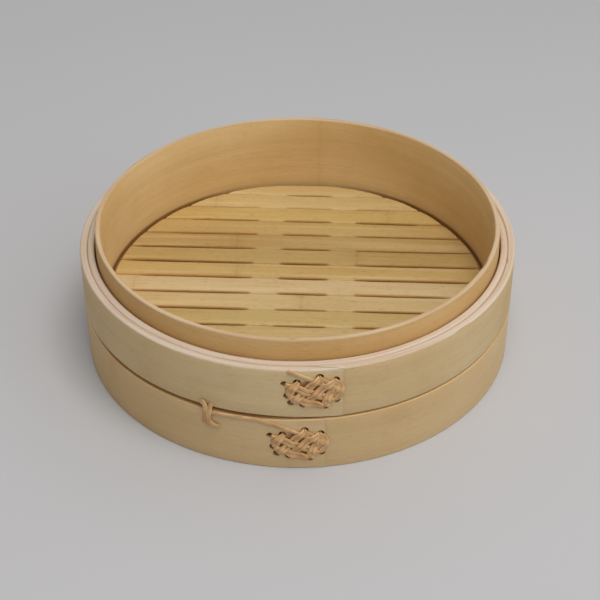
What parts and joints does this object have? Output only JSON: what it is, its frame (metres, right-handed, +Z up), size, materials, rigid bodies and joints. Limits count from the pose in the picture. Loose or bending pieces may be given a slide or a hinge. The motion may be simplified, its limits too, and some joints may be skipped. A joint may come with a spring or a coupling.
{
  "type": "bamboo steamer basket",
  "caption": "Round open bamboo steamer tier with a tall inner hoop, two stacked outer bands laced with cane, and a slatted floor.",
  "frame": {"origin": "on the basket's axis, in the plane of the foot that it stands on, at the mouth of the stacking socket", "axes": "+Z up along the basket's axis, out of the top of the inner hoop; -Y towards the side with the two cane lashings; +X to the right when the lashings face the viewer"},
  "size_m": [0.254, 0.2549, 0.0803],
  "materials": {
    "hoop_bamboo": "satin",
    "band_bamboo": "satin",
    "ring_bamboo": "satin",
    "bar_bamboo": "satin",
    "slat_bamboo": "satin",
    "peg_bamboo": "matte",
    "cane": "satin"
  },
  "bodies": {
    "root": {"inner_hoop": "hoop_bamboo", "upper_outer_ply": "band_bamboo", "upper_inner_ply": "band_bamboo", "lower_outer_ply": "band_bamboo", "lower_inner_ply": "band_bamboo", "floor_ring": "ring_bamboo", "crossbar_left": "bar_bamboo", "crossbar_right": "bar_bamboo", "slat_01": "slat_bamboo", "slat_02": "slat_bamboo", "slat_03": "slat_bamboo", "slat_04": "slat_bamboo", "slat_05": "slat_bamboo", "slat_06": "slat_bamboo", "slat_07": "slat_bamboo", "slat_08": "slat_bamboo", "slat_09": "slat_bamboo", "slat_10": "slat_bamboo", "slat_11": "slat_bamboo", "slat_12": "slat_bamboo", "slat_13": "slat_bamboo", "slat_14": "slat_bamboo", "slat_15": "slat_bamboo", "ring_pegs": "peg_bamboo", "upper_lashing": "cane", "lower_lashing": "cane"}
  },
  "joints": []
}
